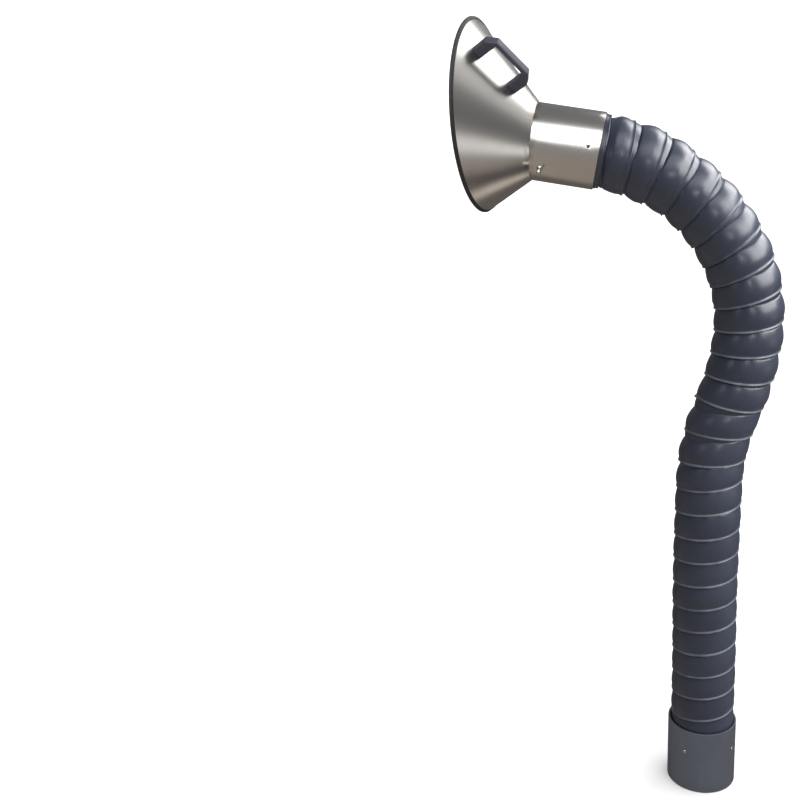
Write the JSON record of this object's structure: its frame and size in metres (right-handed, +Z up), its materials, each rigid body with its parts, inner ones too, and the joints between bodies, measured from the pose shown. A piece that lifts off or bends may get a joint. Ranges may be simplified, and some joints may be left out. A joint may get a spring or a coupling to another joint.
{
  "type": "fume extraction arm",
  "caption": "Self-holding fume extraction arm: grey pipe base, spirally wound dark hose bent over at the top, oblique stainless hood with black edge trim and bridge handle.",
  "frame": {"origin": "centre of the base collar's lower end, where the arm meets the duct", "axes": "+Z up along the base collar and the straight lower hose, -X the way the hood faces, the bend lies in the XZ plane"},
  "size_m": [0.4626, 0.2758, 1.2479],
  "materials": {
    "pipe_grey": "satin grey PVC pipe",
    "hose_pvc": "semi-gloss blue-grey PVC strip",
    "stainless": "rolled stainless sheet, fine brushed",
    "zinc": "bright zinc plating",
    "trim_black": "matte black PVC edge channel",
    "handle_black": "fine-textured black plastic",
    "brass": "turned brass"
  },
  "bodies": {
    "base": {"base_collar": "pipe_grey", "base_screw_1": "zinc", "base_screw_2": "zinc", "base_screw_3": "zinc", "base_screw_4": "zinc", "hose_section_1": "hose_pvc"},
    "link_2": {"hose_section_2": "hose_pvc"},
    "link_3": {"hose_section_3": "hose_pvc"},
    "link_4": {"hose_section_4": "hose_pvc"},
    "link_5": {"hose_section_5": "hose_pvc"},
    "link_6": {"hose_section_6": "hose_pvc"},
    "link_7": {"hose_section_7": "hose_pvc"},
    "link_8": {"hose_section_8": "hose_pvc"},
    "hood": {"hose_section_9": "hose_pvc", "handle": "handle_black", "handle_insert_1": "brass", "handle_insert_2": "brass", "handle_screw_1": "zinc", "handle_screw_2": "zinc", "handle_washer_1": "zinc", "handle_washer_2": "zinc", "hood_collar": "stainless", "hood_cone": "stainless", "hood_edge_trim": "trim_black", "hood_rivet_1": "zinc", "hood_rivet_2": "zinc", "hood_sleeve": "pipe_grey"}
  },
  "joints": [
    {"name": "bend_1_sideways", "type": "hinge", "parent": "base", "child": "link_2", "pos_m": [0, 0, 0.172], "axis": [1, 0, 0], "range_deg": [-25, 25]},
    {"name": "bend_2_forward", "type": "hinge", "parent": "link_2", "child": "link_3", "pos_m": [-0.00107, 0, 0.29499], "axis": [0, -1, 0], "range_deg": [-25, 25]},
    {"name": "bend_3_sideways", "type": "hinge", "parent": "link_3", "child": "link_4", "pos_m": [-0.00161, 0, 0.41799], "axis": [1, 0, -0.0087], "range_deg": [-25, 25]},
    {"name": "bend_4_forward", "type": "hinge", "parent": "link_4", "child": "link_5", "pos_m": [0, 0, 0.54098], "axis": [0, -1, 0], "range_deg": [-15, 30]},
    {"name": "bend_5_sideways", "type": "hinge", "parent": "link_5", "child": "link_6", "pos_m": [0.02387, 0, 0.66097], "axis": [0.9304, 0, -0.3665], "range_deg": [-25, 25]},
    {"name": "bend_6_forward", "type": "hinge", "parent": "link_6", "child": "link_7", "pos_m": [0.04985, 0, 0.78065], "axis": [0, -1, 0], "range_deg": [-50, 15]},
    {"name": "bend_7_sideways", "type": "hinge", "parent": "link_7", "child": "link_8", "pos_m": [0.02559, 0, 0.8999], "axis": [0.8988, 0, 0.4384], "range_deg": [-30, 30]},
    {"name": "bend_8_forward", "type": "hinge", "parent": "link_8", "child": "hood", "pos_m": [-0.05037, 0, 0.9954], "axis": [0, -1, 0], "range_deg": [-55, 15]}
  ]
}
